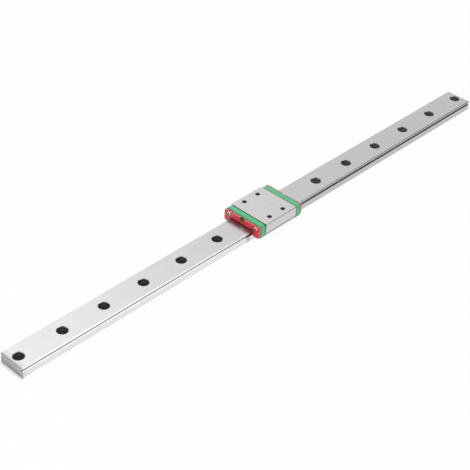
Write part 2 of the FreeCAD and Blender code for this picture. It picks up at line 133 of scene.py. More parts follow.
class Flow:
    """A socket in a tree of nodes: arithmetic on it adds Math nodes, and node() adds any other."""

    def __init__(self, tree, socket=None):
        self.tree = tree
        self.socket = socket

    def node(self, kind, settings, sockets, output=0):
        """A new node: its settings first, then a value or a link for each socket."""
        made = self.tree.nodes.new(kind)
        for name, setting in settings.items():
            setattr(made, name, setting)
        for key, given in sockets.items():
            if isinstance(given, Flow):
                self.tree.links.new(given.socket, made.inputs[key])
            else:
                made.inputs[key].default_value = given
        return Flow(self.tree, made.outputs[output] if made.outputs else None)

    def maths(self, operation, *values):
        """A Math node on numbers and sockets."""
        return self.node("ShaderNodeMath", {"operation": operation}, dict(enumerate(values)))

    def __add__(self, other):
        return self.maths("ADD", self, other)

    def __sub__(self, other):
        return self.maths("SUBTRACT", self, other)

    def __rsub__(self, other):
        return self.maths("SUBTRACT", other, self)

    def __mul__(self, other):
        return self.maths("MULTIPLY", self, other)

    def __pow__(self, other):
        return self.maths("POWER", self, other)

    def __mod__(self, other):
        return self.maths("FLOORED_MODULO", self, other)

    def __abs__(self):
        return self.maths("ABSOLUTE", self)

    __radd__ = __add__
    __rmul__ = __mul__

    def rise(self, low, high, most=1.0):
        """0 at low and most at high, with soft ends; low may be the greater."""
        return self.node(
            "ShaderNodeMapRange",
            {"interpolation_type": "SMOOTHSTEP"},
            {"Value": self, "From Min": low, "From Max": high, "To Max": most},
        )

    def mix(self, low, high):
        """The colour low where this is 0, and high where it is 1."""
        return self.node("ShaderNodeMix", {"data_type": "RGBA"}, {0: self, 6: low, 7: high}, output=2)

    def noise(self, scale, detail=2.0):
        """Cloudy values about 0.5, as many to the metre along each axis as scale says."""
        stretched = self.node("ShaderNodeMapping", {}, {"Vector": self, "Scale": scale})
        return self.node(
            "ShaderNodeTexNoise", {}, {"Vector": stretched, "Scale": 1.0, "Detail": detail}
        )

    def axes(self):
        """The x, y and z of a vector."""
        parts = self.tree.nodes.new("ShaderNodeSeparateXYZ")
        self.tree.links.new(self.socket, parts.inputs[0])
        return [Flow(self.tree, part) for part in parts.outputs]


def start_material(name):
    """An empty material, and the place of a point on the piece, in metres."""
    material = bpy.data.materials.new(name)
    material.use_nodes = True
    material.node_tree.nodes.clear()
    place = Flow(material.node_tree).node("ShaderNodeTexCoord", {}, {}, output="Object")
    return material, place


def finish_material(flow, height, depth, **sockets):
    """The shader of a material, with a relief of that depth where height is 1."""
    bump = flow.node(
        "ShaderNodeBump", {}, {"Strength": 1.0, "Distance": depth, "Height": height}
    )
    inputs = {"Normal": bump}
    for name, given in sockets.items():
        inputs[name.replace("_", " ").title().replace("Ior", "IOR")] = given
    shader = flow.node("ShaderNodeBsdfPrincipled", {}, inputs)
    flow.node("ShaderNodeOutputMaterial", {}, {"Surface": shader})


def shade(colour, factor):
    """A colour made lighter or darker."""
    return (*(channel * factor for channel in colour[:3]), 1)


def distance(first, second):
    """How far two steps at right angles lead, for numbers and for sockets."""
    return (first * first + second * second) ** 0.5


def ground_lines(place):
    """Fine lines along X left by the grinding wheel: coarse ones and hair-thin ones."""
    return place.noise(GROUND_LINES), place.noise(GROUND_HAIRS)


def seal_shade_on_rail(along, across, smears):
    """How much painted shade darkens the rail: most in front of the left seal, a little under the
    carriage, less on the near side by the seal.
    """
    film = along.rise(*RAIL_SHADE_BY_SEAL) + along.rise(*RAIL_SHADE_UNDER_CARRIAGE)
    thinner = across.rise(*RAIL_SHADE_THIN_ACROSS) * along.rise(*RAIL_SHADE_THIN_ALONG)
    return film * along.rise(*RAIL_SHADE_OUTER_EDGE) * (1 - thinner) * (0.45 + 0.3 * smears)


def foot_shade(along, up):
    """How much painted shade darkens the rail's foot: a low line of contact shade, and more over the
    lower flank on the right half.
    """
    return up.rise(*FOOT_SHADE_LINE_UP) + up.rise(*FOOT_SHADE_RIGHT_UP) * along.rise(*FOOT_SHADE_RIGHT_ALONG)


def edge_shade_right(along, across, up):
    """How much painted shade darkens the bevels beside the rail's top, only to the right of the
    carriage.
    """
    on_bevel = up.rise(*EDGE_SHADE_UP) * abs(across).rise(*EDGE_SHADE_OUT)
    return on_bevel * along.rise(*EDGE_SHADE_ALONG)


def sawn_steel(place, across, up):
    """The colour of the rail's cut ends, with painted light towards the front and painted shade towards
    the foot.
    """
    grain = place.noise(RAIL_CUT_GRAIN, 3.0)
    colour = grain.mix(shade(RAIL_CUT_COLOUR, 0.9), shade(RAIL_CUT_COLOUR, 1.15))
    # Painted light towards the front of the cut end.
    colour = across.rise(*CUT_LIT_ACROSS).mix(colour, shade(RAIL_CUT_COLOUR, 1.25))
    # Painted shade towards the foot.
    return up.rise(*CUT_SHADE_UP).mix(colour, shade(RAIL_CUT_COLOUR, 0.65))


def from_bolt_hole(along, across):
    """How far a point is from the axis of the bolt hole in its stretch of the rail."""
    return distance((along + RAIL_END) % RAIL_HOLE_PITCH - RAIL_HOLE_INSET, across)


def hole_scale(place, along, up):
    """The colour in the bolt holes: black scale, with painted light on the upper wall, deep down and in
    the holes to the right.
    """
    spots = place.noise(RAIL_SCALE_SPOTS, 3.0)
    colour = spots.mix(shade(RAIL_SCALE_COLOUR, 0.6), shade(RAIL_SCALE_COLOUR, 1.6))
    # Painted light deep in the holes and in the holes to the right.
    lit_inside = up.rise(*HOLE_LIT_DEEP_UP) + along.rise(*HOLE_LIT_RIGHT_ALONG)
    colour = lit_inside.mix(colour, RAIL_SCALE_LIT_COLOUR)
    # Painted light on the upper wall below the mouth.
    lit_wall = up.rise(*HOLE_LIT_WALL_UP) * (0.4 + 0.6 * place.noise(RAIL_SCALE_LIT_PATCHES))
    return lit_wall.mix(colour, RAIL_SCALE_LIT_RIM_COLOUR)


def groove_shade(along, out, up, in_race):
    """How much painted shade darkens a ball groove's upper rim, the groove, the sides of its slot and
    the slot.
    """
    from_race = abs(up - RACE_HEIGHT)
    on_rim = up.rise(*RACE_RIM_UNDER) * up.rise(*RACE_RIM_OVER) * out.rise(*RACE_RIM_OUT)
    on_rim = on_rim * along.rise(*RACE_RIM_ALONG)
    inside = in_race * (RACE_SHADE + up.rise(*RACE_SHADE_UP) + along.rise(*RACE_SHADE_ALONG))
    by_slot = in_race * from_race.rise(*SLOT_SHADE_SPAN)
    in_slot = out.rise(*SLOT_MOUTH) * out.rise(*SLOT_BED) * from_race.rise(*SLOT_SPAN)
    return on_rim, inside, by_slot, in_slot


def rail_steel():
    """Ground steel, with black scale and painted light in the holes, and painted shade in the grooves
    and slots.
    """
    material, place = start_material("rail_steel_ground")
    along, across, up = place.axes()
    lines, hairs = ground_lines(place)
    smears = place.noise(RAIL_SMEARS, 3.0)
    colour = lines.mix(shade(RAIL_COLOUR, 0.93), shade(RAIL_COLOUR, 1.05))
    colour = smears.rise(*RAIL_SMEARED).mix(colour, RAIL_SMEAR_COLOUR)
    # Painted shade before the left seal: its shadow and dark reflection on the rail, with a little under
    # the carriage.
    colour = seal_shade_on_rail(along, across, smears).mix(colour, RAIL_SEAL_SHADE_COLOUR)
    # Painted shade along the foot, and over the lower flank on the right half.
    colour = foot_shade(along, up).mix(colour, shade(RAIL_COLOUR, 0.8))
    # Painted shade on the top bevels right of the carriage.
    colour = edge_shade_right(along, across, up).mix(colour, shade(RAIL_COLOUR, 0.4))

    # Darker and patchy towards the rail's left end.
    left_end_darker = along.rise(*LEFT_END_DARKER_ALONG) * (0.1 + 0.3 * smears)
    colour = left_end_darker.mix(colour, RAIL_CUT_COLOUR)
    cut_end = abs(along).rise(*CUT_END)
    colour = cut_end.mix(colour, sawn_steel(place, across, up))

    from_hole = from_bolt_hole(along, across)
    on_mouth = from_hole.rise(*MOUTH_RIM) * up.rise(*MOUTH_UNDER_TOP) * up.rise(*MOUTH_OVER_WALL)
    colour = on_mouth.mix(colour, RAIL_MOUTH_COLOUR)
    in_hole = from_hole.rise(*HOLE_WALL) * up.rise(*HOLE_UNDER_TOP) * up.rise(*HOLE_OVER_FOOT)
    colour = in_hole.mix(colour, hole_scale(place, along, up))

    out = abs(across)
    in_race = abs(up - RACE_HEIGHT).rise(*RACE_SPAN) * out.rise(*RACE_MOUTH) * out.rise(*RACE_BED)
    # Painted shade in and around the ball grooves and slots, heavier to the right.
    for groove_mark in groove_shade(along, out, up, in_race):
        colour = groove_mark.mix(colour, RAIL_GROOVE_SHADE_COLOUR)

    finish_material(
        place,
        hairs,
        GROUND_HAIR_DEPTH,
        base_color=colour,
        metallic=1 - 0.6 * in_hole,
        roughness=0.22 + 0.05 * lines + 0.05 * smears + 0.2 * cut_end - 0.12 * in_race + 0.16 * in_hole,
    )
    return material


def copied(node):
    """The form of a node with its triangles joined into faces."""
    form = bmesh.new()
    form.from_mesh(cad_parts[node].data)
    bmesh.ops.remove_doubles(form, verts=form.verts, dist=SAME_POINT)
    bmesh.ops.dissolve_limit(form, angle_limit=FLAT_WITHIN, verts=form.verts, edges=form.edges)
    return form


def sharp_edges(form):
    """The edges of a form where two faces meet at a marked angle."""
    return [edge for edge in form.edges if edge.is_manifold and edge.calc_face_angle() > SHARP_OVER]


def bevel(form, edges, width, segments=1, clamp=True):
    """Take off those edges of a form."""
    bmesh.ops.bevel(
        form,
        geom=edges,
        offset=width,
        affect="EDGES",
        segments=segments,
        profile=0.5,
        material=-1,
        clamp_overlap=clamp,
    )


def ease(form, width, segments):
    """Round off the sharp edges of a form."""
    bevel(form, sharp_edges(form), width, segments)


def at_mouth(vert):
    """True for a point on the rim of a bolt hole in the rail's top."""
    off_rim = from_bolt_hole(vert.co.x, vert.co.y) - RAIL_HOLE_MOUTH
    return abs(off_rim) < NEAR_RIM and abs(vert.co.z - RAIL_TOP) < SAME_POINT


def round_mouth(edge):
    """True for an edge that runs round the rim of a bolt hole."""
    return all(map(at_mouth, edge.verts))


def over_cut(edge):
    """True on the upper edge of the rail's cut ends, with the ends of its two bevels."""
    first, second = (vert.co for vert in edge.verts)
    at_end = abs(abs(first.x) - RAIL_END) < SAME_POINT and abs(first.x - second.x) < SAME_POINT
    return at_end and min(first.z, second.z) > RAIL_TOP - RAIL_TOP_BEVEL - NEAR_RIM


def place_piece(form, name, body, slot, material, *nodes):
    """Make a bmesh an object that rides on a body, in the place of the nodes that it stands for."""
    mesh = bpy.data.meshes.new(name)
    form.to_mesh(mesh)
    form.free()
    mesh.materials.append(material)
    mesh.shade_smooth()
    mesh.set_sharp_from_angle(angle=SHARP_OVER)
    piece = bpy.data.objects.new(name, mesh)
    bpy.context.scene.collection.objects.link(piece)
    weights = piece.modifiers.new("even_normals", "WEIGHTED_NORMAL")
    weights.keep_sharp = True
    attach(piece, body)
    if nodes:
        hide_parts(*nodes)


rail_form = copied("rail")
bevel(rail_form, list(filter(over_cut, sharp_edges(rail_form))), RAIL_END_BEVEL)
bevel(rail_form, list(filter(round_mouth, sharp_edges(rail_form))), RAIL_HOLE_BEVEL, clamp=False)
ease(rail_form, RAIL_EDGE, 1)
place_piece(rail_form, "rail_eased", "rail", "rail_steel", rail_steel(), "rail")

# The carriage block: a saddle of the same steel, ground to a finer, paler finish on its flat faces.
# Its top bevels stay as milled and look darker, and its foot bevels carry painted shade. Four holes in
# its top are tapped for the bolts of whatever the carriage carries, and painted shade makes them near
# black.
BLOCK_LOW, BLOCK_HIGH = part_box("carriage_block")
BLOCK_MIDDLE = (BLOCK_LOW.x + BLOCK_HIGH.x) / 2
BLOCK_HALF = (BLOCK_HIGH.x - BLOCK_LOW.x) / 2
BLOCK_SIDE = BLOCK_HIGH.y
BLOCK_TOP = BLOCK_HIGH.z
BLOCK_EDGE = 0.15 * MM
BLOCK_TOP_BEVEL = 0.5 * MM
BLOCK_FOOT_BEVEL = BLOCK_LOW.z + 2.7 * MM
BLOCK_COLOUR = (0.384, 0.370, 0.369, 1)
BLOCK_BEVEL_COLOUR = (0.200, 0.192, 0.192, 1)
BLOCK_FOOT_SHADE_COLOUR = (0.140, 0.135, 0.135, 1)
BLOCK_HOLE_SHADE_COLOUR = (0.026, 0.025, 0.024, 1)
BLOCK_SMEARS = (45, 70, 70)
LOAD_HOLE_ALONG = 6 * MM
LOAD_HOLE_ACROSS = 10.5 * MM
LOAD_HOLE_RADIUS = 1.25 * MM
LOAD_HOLE_LIP = 0.35 * MM
THREAD_PITCH = 0.5 * MM
THREAD_HEIGHT = 0.16 * MM
THREAD_SUNK = 0.02 * MM
THREAD_HALF_FOOT = 0.42 * THREAD_PITCH
THREAD_TURNS = 5
THREAD_STEPS = 24

# Where each look starts and where it is full, and how strong it is there if that isn't 1.
BLOCK_SMEARED = (0.45, 0.75, 0.4)
TOP_BEVEL_UNDER = (BLOCK_TOP - 0.04 * MM, BLOCK_TOP - 0.08 * MM)
TOP_BEVEL_OVER = (BLOCK_TOP - BLOCK_TOP_BEVEL - 0.02 * MM, BLOCK_TOP - BLOCK_TOP_BEVEL)
TOP_BEVEL_OUT = (BLOCK_SIDE - BLOCK_TOP_BEVEL - 0.1 * MM, BLOCK_SIDE - BLOCK_TOP_BEVEL)
FOOT_BEVEL_UNDER = (BLOCK_FOOT_BEVEL, BLOCK_FOOT_BEVEL - 0.3 * MM)
FOOT_BEVEL_OUT = (BLOCK_SIDE - 1.2 * MM, BLOCK_SIDE - 1.1 * MM)
LOAD_HOLE_RIM = LOAD_HOLE_RADIUS + LOAD_HOLE_LIP
LOAD_HOLE_WALL = (LOAD_HOLE_RIM + 0.15 * MM, LOAD_HOLE_RIM + 0.1 * MM)
LOAD_HOLE_UNDER_TOP = (BLOCK_TOP - 0.01 * MM, BLOCK_TOP - 0.06 * MM)


def block_steel():
    """Finely ground steel, with painted shade on the foot bevels and in the tapped holes and their
    threads.
    """
    material, place = start_material("block_steel_ground")
    along, across, up = place.axes()
    out = abs(across)
    lines, hairs = ground_lines(place)
    smears = place.noise(BLOCK_SMEARS, 3.0)
    colour = lines.mix(shade(BLOCK_COLOUR, 0.95), shade(BLOCK_COLOUR, 1.04))
    colour = smears.rise(*BLOCK_SMEARED).mix(colour, shade(BLOCK_COLOUR, 0.93))
    top_bevel = up.rise(*TOP_BEVEL_UNDER) * up.rise(*TOP_BEVEL_OVER) * out.rise(*TOP_BEVEL_OUT)
    colour = top_bevel.mix(colour, BLOCK_BEVEL_COLOUR)
    # Painted shade on the foot bevels, which face the shaded floor under the carriage.
    foot_bevel = up.rise(*FOOT_BEVEL_UNDER) * out.rise(*FOOT_BEVEL_OUT)
    colour = foot_bevel.mix(colour, BLOCK_FOOT_SHADE_COLOUR)
    # Painted shade in the tapped holes and their threads.
    from_hole = distance(abs(along - BLOCK_MIDDLE) - LOAD_HOLE_ALONG, out - LOAD_HOLE_ACROSS)
    in_hole = from_hole.rise(*LOAD_HOLE_WALL) * up.rise(*LOAD_HOLE_UNDER_TOP)
    finish_material(
        place,
        hairs,
        GROUND_HAIR_DEPTH,
        base_color=in_hole.mix(colour, BLOCK_HOLE_SHADE_COLOUR),
        metallic=1 - 0.6 * in_hole,
        roughness=0.24 + 0.05 * lines + 0.05 * smears,
    )
    return material


def cut_thread(form, axis_top):
    """Add the ridge of a thread that winds down from the top of a hole's axis."""
    crest = Vector((LOAD_HOLE_RADIUS - THREAD_HEIGHT, 0, 0))
    root = Vector((LOAD_HOLE_RADIUS + THREAD_SUNK, 0, 0))
    flank = Vector((0, 0, THREAD_HALF_FOOT))
    outline = [form.verts.new(axis_top + point) for point in (root + flank, crest, root - flank)]
    ridge = [form.edges.new(pair) for pair in zip(outline, outline[1:] + outline[:1])]
    form.faces.new(outline)
    made = bmesh.ops.spin(
        form,
        geom=outline + ridge,
        cent=axis_top,
        axis=(0, 0, 1),
        dvec=Vector((0, 0, -THREAD_PITCH / THREAD_STEPS)),
        angle=2 * math.pi * THREAD_TURNS,
        steps=THREAD_STEPS * THREAD_TURNS,
    )
    form.faces.new([vert for vert in made["geom_last"] if isinstance(vert, bmesh.types.BMVert)])


BLOCK_STEEL = block_steel()
block_form = copied("carriage_block")
ease(block_form, BLOCK_EDGE, 1)
place_piece(block_form, "carriage_block_eased", "carriage", "block_steel", BLOCK_STEEL, "carriage_block")

threads = bmesh.new()
for along in (-LOAD_HOLE_ALONG, LOAD_HOLE_ALONG):
    for across in (-LOAD_HOLE_ACROSS, LOAD_HOLE_ACROSS):
        cut_thread(threads, Vector((BLOCK_MIDDLE + along, across, BLOCK_TOP - LOAD_HOLE_LIP)))
bmesh.ops.recalc_face_normals(threads, faces=threads.faces)
place_piece(threads, "load_hole_threads", "carriage", "block_steel", BLOCK_STEEL)

# The balls: two rows of hard chromium steel balls, lapped to a mirror finish.
# They roll loose between the groove of the rail and the groove of the block.
BALL_COUNT = 16
BALL_RADIUS = 0.794 * MM
BALL_PITCH = 1.608 * MM
BALL_SEGMENTS = 16
BALL_RINGS = 10
BALL_COLOUR = (0.40, 0.40, 0.41, 1)
BALL_FILM = (700, 700, 700)
BALL_FILM_DEPTH = 0.001 * MM


def ball_steel():
    """Lapped steel under a film of oil, a little uneven in its shine."""
    material, place = start_material("ball_steel_lapped")
    film = place.noise(BALL_FILM)
    finish_material(
        place,
        film,
        BALL_FILM_DEPTH,
        base_color=film.mix(shade(BALL_COLOUR, 0.85), shade(BALL_COLOUR, 1.1)),
        metallic=1.0,
        roughness=0.06 + 0.08 * film,
    )
    return material


BALL_STEEL = ball_steel()
for side in ("front", "back"):
    row_low, row_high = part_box("ball_row_" + side)
    row_middle = (row_low + row_high) / 2
    row = bmesh.new()
    for number in range(BALL_COUNT):
        shift = Vector(((number - (BALL_COUNT - 1) / 2) * BALL_PITCH, 0, 0))
        bmesh.ops.create_uvsphere(
            row,
            u_segments=BALL_SEGMENTS,
            v_segments=BALL_RINGS,
            radius=BALL_RADIUS,
            matrix=Matrix.Translation(row_middle + shift),
        )
    place_piece(row, f"balls_{side}", "carriage", "ball_steel", BALL_STEEL, "ball_row_" + side)

# The end caps: green acetal, injection moulded, with a satin skin and softly rounded edges.
# Each turns the balls round and is clamped against the end of the block.
_, CAP_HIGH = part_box("end_cap_right")
CAP_EDGE = 0.22 * MM
CAP_ROUND = 1.5 * MM
CAP_ROUND_MORE = 0.8 * MM
OIL_HOLE_HEIGHT = 10.3 * MM
CAP_COLOUR = (0.088, 0.490, 0.222, 1)
CAP_SEAM_SHADE_COLOUR = (0.035, 0.250, 0.120, 1)
CAP_SHEEN_COLOUR = (0.175, 0.440, 0.265, 1)
CAP_GREASE_COLOUR = (0.190, 0.118, 0.065, 1)
CAP_GREASE_LIT_COLOUR = (0.330, 0.235, 0.165, 1)
CAP_CLOUDS = (120, 120, 120)
CAP_SKIN = (6000, 6000, 6000)
MOULDED_EDGE_STEPS = 3
MOULDED_SKIN_DEPTH = 0.004 * MM
PLASTIC_SHINE = 0.26

# Where each look starts and where it is full, and how strong it is there if that isn't 1.
CAP_SEAM_FROM_BLOCK = (1.25 * MM, 0.5 * MM)
CAP_SHADE_FROM_BLOCK = (2.9 * MM, 4.2 * MM, 0.5)
CAP_FACE_FROM_BLOCK = (3.9 * MM, 4.1 * MM)
CAP_SHEEN_ACROSS = (2 * MM, 12 * MM)
CAP_SHEEN_ALONG = (0, 9 * MM, 0.6)
CAP_GREASE_SPREAD = (1.7 * MM, 1.19 * MM)
GREASE_LIT_UP = (OIL_HOLE_HEIGHT, OIL_HOLE_HEIGHT + 1.4 * MM)


def old_grease(up):
    """The colour of brown grease, which also stands for painted shade in the notch, with painted light
    making it paler higher up.
    """
    return up.rise(*GREASE_LIT_UP).mix(CAP_GREASE_COLOUR, CAP_GREASE_LIT_COLOUR)


def green_acetal():
    """Satin moulded plastic, with painted sheen towards the back, painted shade in the seams by the
    steel and by the seal, and old grease round the oil hole.
    """
    material, place = start_material("green_acetal_moulded")
    along, across, up = place.axes()
    from_block = abs(along - BLOCK_MIDDLE) - BLOCK_HALF
    clouds = place.noise(CAP_CLOUDS, 3.0)
    colour = clouds.mix(shade(CAP_COLOUR, 0.93), shade(CAP_COLOUR, 1.07))
    # Painted sheen towards the back and on the right cap.
    sheen = across.rise(*CAP_SHEEN_ACROSS) + along.rise(*CAP_SHEEN_ALONG)
    colour = (sheen * (0.3 + 0.5 * clouds)).mix(colour, CAP_SHEEN_COLOUR)
    # Painted shade in the seam by the steel and, weaker, by the seal.
    seam_shade = from_block.rise(*CAP_SEAM_FROM_BLOCK) + from_block.rise(*CAP_SHADE_FROM_BLOCK)
    colour = seam_shade.mix(colour, CAP_SEAM_SHADE_COLOUR)
    # Brown grease round the oil hole, its darkness partly painted shade in the notch.
    grease = distance(across, up - OIL_HOLE_HEIGHT).rise(*CAP_GREASE_SPREAD)
    grease = grease * from_block.rise(*CAP_FACE_FROM_BLOCK)
    finish_material(
        place,
        place.noise(CAP_SKIN),
        MOULDED_SKIN_DEPTH,
        base_color=grease.mix(colour, old_grease(up)),
        roughness=0.34 + 0.12 * clouds,
        specular_ior_level=PLASTIC_SHINE,
    )
    return material


def round_more(form):
    """Widen the round along the upper corners of a cap."""
    for vert in form.verts:
        out = abs(vert.co.y) - (CAP_HIGH.y - CAP_ROUND)
        rise = vert.co.z - (CAP_HIGH.z - CAP_ROUND)
        if min(out, rise) > -SAME_POINT:
            reach = math.hypot(out, rise)
            vert.co.y -= math.copysign(CAP_ROUND_MORE * (1 - out / reach), vert.co.y)
            vert.co.z -= CAP_ROUND_MORE * (1 - rise / reach)


GREEN_ACETAL = green_acetal()
for end in ("left", "right"):
    node = "end_cap_" + end
    cap_form = copied(node)
    round_more(cap_form)
    ease(cap_form, CAP_EDGE, MOULDED_EDGE_STEPS)
    place_piece(cap_form, f"end_cap_{end}_eased", "carriage", "green_plastic", GREEN_ACETAL, node)

# The end seals: red plates of moulded rubbery plastic, with set-back lips that wipe the rail.
# Each is screwed on over its end cap, and a notch in it leaves the oil hole of the cap open.
_, SEAL_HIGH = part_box("end_seal_right")
SCREW_LOW, SCREW_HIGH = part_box("cap_screw_right_back")
SCREW_ACROSS = (SCREW_LOW.y + SCREW_HIGH.y) / 2
SCREW_UP = (SCREW_LOW.z + SCREW_HIGH.z) / 2
SEAL_EDGE = 0.22 * MM
SEAL_LIP = 0.8 * MM
SEAL_SHADE = 2.4 * MM
NOTCH_HALF = 1.5 * MM
NOTCH_FOOT = 8.8 * MM
SEAL_COLOUR = (0.670, 0.049, 0.066, 1)
SEAL_EDGE_HIGHLIGHT_COLOUR = (0.740, 0.140, 0.135, 1)
SEAL_FAR_SHADE_COLOUR = (0.430, 0.062, 0.076, 1)
SEAL_RIGHT_HIGHLIGHT_COLOUR = (0.440, 0.220, 0.205, 1)
SEAL_SHADE_COLOUR = (0.460, 0.028, 0.048, 1)
SEAL_LIP_LIT_COLOUR = (0.800, 0.095, 0.115, 1)
SEAL_SCREW_SHADE_COLOUR = (0.330, 0.020, 0.028, 1)
SEAL_CLOUDS = (150, 150, 150)
SEAL_SKIN = (5000, 5000, 5000)

# Where each look starts and where it is full, and how strong it is there if that isn't 1.
SEAL_FAR_SHADE_ACROSS = (4 * MM, 9 * MM)
SEAL_RIGHT_HIGHLIGHT_ALONG = (0, 10 * MM)
SEAL_HIGHLIGHT_UP = (SEAL_HIGH.z - SEAL_EDGE, SEAL_HIGH.z)
SEAL_HIGHLIGHT_OUT = (SEAL_HIGH.y - SEAL_EDGE, SEAL_HIGH.y)
SEAL_SHADE_UP = (RAIL_TOP + SEAL_SHADE, RAIL_TOP, 0.6)
SEAL_SHADE_OUT = (RAIL_SIDE + SEAL_SHADE, RAIL_SIDE)
SEAL_SCREW_SHADE_SPREAD = (2.2 * MM, 1.7 * MM)
SEAL_LIP_UP = (RAIL_TOP + SEAL_LIP + 0.1 * MM, RAIL_TOP + SEAL_LIP)
SEAL_LIP_OUT = (RAIL_SIDE + SEAL_LIP + 0.1 * MM, RAIL_SIDE + SEAL_LIP)
NOTCH_GREASE_OUT = (NOTCH_HALF + 0.45 * MM, NOTCH_HALF)
NOTCH_GREASE_UP = (NOTCH_FOOT - 0.4 * MM, NOTCH_FOOT)


def from_screw(across, up):
    """How far a point is from the axis of the screw on its side."""
    return distance(abs(across) - SCREW_ACROSS, up - SCREW_UP)


def red_seal():
    """Satin moulded plastic with painted highlights on its edges, painted shade towards the far side, by
    the rail and round the screws, painted light on the lip, and grease in the notch.
    """
    material, place = start_material("red_seal_moulded")
    along, across, up = place.axes()
    out = abs(across)
    clouds = place.noise(SEAL_CLOUDS, 3.0)
    colour = clouds.mix(shade(SEAL_COLOUR, 0.92), shade(SEAL_COLOUR, 1.07))
    # Painted shade towards the far side.
    far_shade = across.rise(*SEAL_FAR_SHADE_ACROSS) * (0.4 + 0.8 * clouds)
    colour = far_shade.mix(colour, SEAL_FAR_SHADE_COLOUR)
    # Painted highlight on the top and side edges, paler on the right seal.
    edge_highlight = up.rise(*SEAL_HIGHLIGHT_UP) + out.rise(*SEAL_HIGHLIGHT_OUT)
    colour = edge_highlight.mix(colour, along.rise(*SEAL_RIGHT_HIGHLIGHT_ALONG).mix(SEAL_EDGE_HIGHLIGHT_COLOUR, SEAL_RIGHT_HIGHLIGHT_COLOUR))
    by_rail = up.rise(*SEAL_SHADE_UP) * out.rise(*SEAL_SHADE_OUT)
    colour = by_rail.mix(colour, SEAL_SHADE_COLOUR)
    # Painted shade round the screw heads.
    screw_shade = from_screw(across, up).rise(*SEAL_SCREW_SHADE_SPREAD) * (0.4 + 0.6 * clouds)
    colour = screw_shade.mix(colour, SEAL_SCREW_SHADE_COLOUR)
    # Painted light on the set-back lip.
    lit_lip = up.rise(*SEAL_LIP_UP) * out.rise(*SEAL_LIP_OUT)
    colour = lit_lip.mix(colour, SEAL_LIP_LIT_COLOUR)
    # Grease on the notch's walls, partly painted shade, with painted light higher up.
    greasy = out.rise(*NOTCH_GREASE_OUT) * up.rise(*NOTCH_GREASE_UP)
    finish_material(
        place,
        place.noise(SEAL_SKIN),
        MOULDED_SKIN_DEPTH,
        base_color=greasy.mix(colour, old_grease(up)),
        roughness=0.38 + 0.14 * clouds,
        specular_ior_level=PLASTIC_SHINE,
    )
    return material


RED_SEAL = red_seal()
for end in ("left", "right"):
    node = "end_seal_" + end
    seal_form = copied(node)
    ease(seal_form, SEAL_EDGE, MOULDED_EDGE_STEPS)
    place_piece(seal_form, f"end_seal_{end}_eased", "carriage", "red_seal", RED_SEAL, node)

# The screws: four small plated steel screws with domed heads and a cross drive.
# Each passes through a seal and a cap, clamps both to the block and sits sunk in the seal's face.
SCREW_HEAD_RADIUS = 1.4 * MM
SCREW_HEAD_HEIGHT = 0.9 * MM
SCREW_HEAD_ROUND = 0.45 * MM
SCREW_HEAD_TIP = SCREW_HIGH.x - BLOCK_MIDDLE
SCREW_SHANK_RADIUS = 0.75 * MM
SCREW_SHANK_LENGTH = SCREW_HIGH.x - SCREW_LOW.x - SCREW_HEAD_HEIGHT
SCREW_TIP_RADIUS = 0.7 * SCREW_SHANK_RADIUS
SCREW_TIP_BEVEL = 0.25 * MM
SCREW_DRIVE_SPAN = 2.1 * MM
SCREW_DRIVE_SLOT = 1.3 * MM
SCREW_DRIVE_DEPTH = 0.5 * MM
SCREW_DRIVE_TAPER = 0.62
SCREW_DRIVE_TURNS = {"front": 0.5, "back": 0.2}
SCREW_SIDES = 48
SCREW_ROUND_STEPS = 6
SCREW_COLOUR = (0.57, 0.48, 0.42, 1)
SCREW_DRIVE_SHADE_COLOUR = (0.030, 0.018, 0.012, 1)
SCREW_SPECKS = (2500, 2500, 2500)
SCREW_SPECK_DEPTH = 0.002 * MM

# Where the painted shade in the drive starts and where it is full.
SCREW_SHADE_DEEP = (0.04 * MM, 0.12 * MM)
SCREW_SHADE_OUT = (SCREW_DRIVE_SPAN / 2 + 0.1 * MM, SCREW_DRIVE_SPAN / 2)


def screw_steel():
    """Bright plating, with painted shade down in the drive."""
    material, place = start_material("screw_steel_plated")
    along, across, up = place.axes()
    specks = place.noise(SCREW_SPECKS)
    depth = SCREW_HEAD_TIP - abs(along - BLOCK_MIDDLE)
    # Painted shade down in the drive.
    in_drive = depth.rise(*SCREW_SHADE_DEEP) * from_screw(across, up).rise(*SCREW_SHADE_OUT)
    colour = specks.mix(shade(SCREW_COLOUR, 0.92), shade(SCREW_COLOUR, 1.05))
    finish_material(
        place,
        specks,
        SCREW_SPECK_DEPTH,
        base_color=in_drive.mix(colour, SCREW_DRIVE_SHADE_COLOUR),
        metallic=1 - 0.6 * in_drive,
        roughness=0.2 + 0.12 * specks,
    )
    return material


def domed_screw():
    """A screw along +X with the seat of its head at the origin."""
    screw = bmesh.new()
    tip = -SCREW_SHANK_LENGTH
    profile = [(tip, 0), (tip, SCREW_TIP_RADIUS), (tip + SCREW_TIP_BEVEL, SCREW_SHANK_RADIUS)]
    profile += [(0, SCREW_SHANK_RADIUS), (0, SCREW_HEAD_RADIUS)]
    for step in range(SCREW_ROUND_STEPS + 1):
        turn = math.pi / 2 * step / SCREW_ROUND_STEPS
        along = SCREW_HEAD_HEIGHT - SCREW_HEAD_ROUND * (1 - math.sin(turn))
        profile.append((along, SCREW_HEAD_RADIUS - SCREW_HEAD_ROUND * (1 - math.cos(turn))))
    profile.append((SCREW_HEAD_HEIGHT, 0))
    points = [screw.verts.new((along, out, 0)) for along, out in profile]
    edges = [screw.edges.new(pair) for pair in zip(points, points[1:])]
    bmesh.ops.spin(
        screw,
        geom=points + edges,
        cent=(0, 0, 0),
        axis=(1, 0, 0),
        angle=2 * math.pi,
        steps=SCREW_SIDES,
        use_merge=True,
    )
    bmesh.ops.remove_doubles(screw, verts=screw.verts, dist=SAME_POINT)
    bmesh.ops.recalc_face_normals(screw, faces=screw.faces)
    return screw


